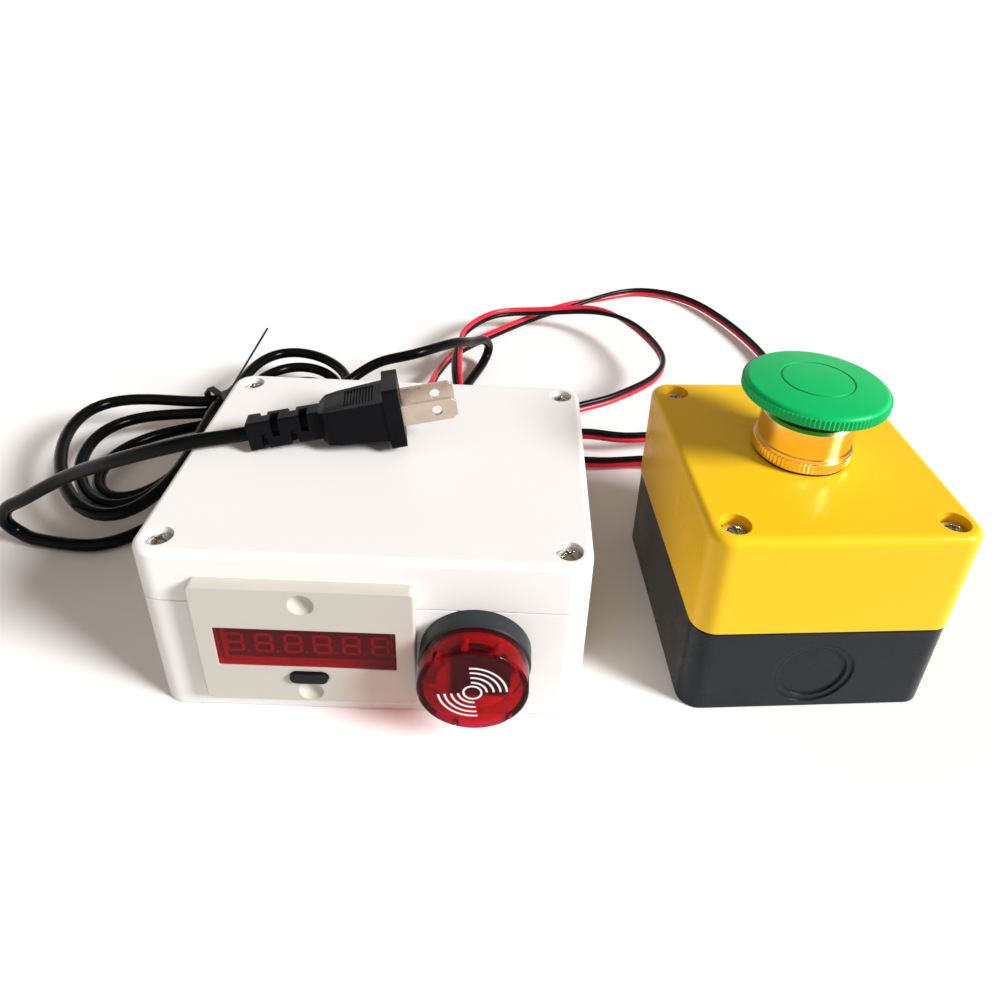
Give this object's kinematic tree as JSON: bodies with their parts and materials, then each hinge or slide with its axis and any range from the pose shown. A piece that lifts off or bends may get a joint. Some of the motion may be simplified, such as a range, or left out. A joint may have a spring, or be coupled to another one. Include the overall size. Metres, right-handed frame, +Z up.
{
  "type": "electronic tally counter with remote push button",
  "caption": "Mains powered digital tally counter in a white box with a round buzzer, wired by a twin cable to a separate box with a mushroom push button.",
  "frame": {"origin": "on the table surface, under the middle of the white counter box", "axes": "+X from the counter box towards the push button station, +Y from the counter's front plate to its back wall, +Z up"},
  "size_m": [0.3003, 0.3167, 0.0854],
  "materials": {
    "white_abs": "moulded ABS, satin",
    "ivory_abs": "moulded ABS, satin",
    "gasket_foam": "foam cord",
    "nickel_screw": "nickel plated steel",
    "red_filter": "clear red acrylic, polished",
    "display_black": "dark display face",
    "digit_pink": "unlit light bars",
    "board_green": "solder resist",
    "black_gloss": "polished",
    "black_matte": "moulded",
    "charcoal_plastic": "moulded, satin",
    "red_lens": "translucent red polycarbonate",
    "black_rubber": "moulded rubber",
    "black_pvc": "soft PVC, satin",
    "tie_plastic": "plastic coated wire strip",
    "blade_brass": "nickel washed brass",
    "twin_pvc": "soft PVC, one red core and one black core",
    "black_abs": "moulded ABS, satin",
    "yellow_abs": "moulded ABS, satin",
    "gold_metal": "polished gold plating",
    "green_plastic": "moulded, satin",
    "spring_steel": "drawn wire"
  },
  "bodies": {
    "counter_set": {"counter_base": "white_abs", "counter_lid": "white_abs", "lid_gasket": "gasket_foam", "lid_screws": "nickel_screw", "display_panel": "ivory_abs", "display_window": "red_filter", "digit_display": "display_black", "digit_segments": "digit_pink", "counter_case": "ivory_abs", "counter_board": "board_green", "reset_switch": "black_matte", "buzzer_bezel": "charcoal_plastic", "buzzer_lens": "red_lens", "buzzer_sounder": "black_matte", "buzzer_lamp_ring": "board_green", "buzzer_nut": "charcoal_plastic", "terminal_strip": "ivory_abs", "mains_bushing": "black_rubber", "signal_bushing": "black_rubber", "mains_cord_tail": "black_pvc", "mains_hank": "black_pvc", "mains_cord_feed": "black_pvc", "cord_tie": "tie_plastic", "plug_body": "black_pvc", "plug_blades": "blade_brass", "signal_cable": "twin_pvc", "remote_base": "black_abs", "remote_cover": "yellow_abs", "remote_gasket": "gasket_foam", "remote_screws": "nickel_screw", "remote_bushing": "black_rubber", "button_bezel": "gold_metal", "bezel_ring": "gold_metal", "button_seal": "black_rubber", "mounting_collar": "charcoal_plastic", "button_spring": "spring_steel", "contact_block": "ivory_abs", "contact_terminals": "blade_brass"},
    "push_button": {"button_head": "green_plastic", "button_stem": "black_matte", "contact_plunger": "black_matte"},
    "reset_key": {"reset_button": "black_gloss"}
  },
  "joints": [
    {"name": "push_button_travel", "type": "slide", "parent": "counter_set", "child": "push_button", "axis": [0, 0, -1], "range_m": [0, 0.0045], "stiffness_N_per_m": 900, "springref_m": -0.004, "deforming": ["button_spring"]},
    {"name": "reset_key_travel", "type": "slide", "parent": "counter_set", "child": "reset_key", "axis": [0, 1, 0], "range_m": [0, 0.0008], "stiffness_N_per_m": 600, "springref_m": -0.001}
  ]
}
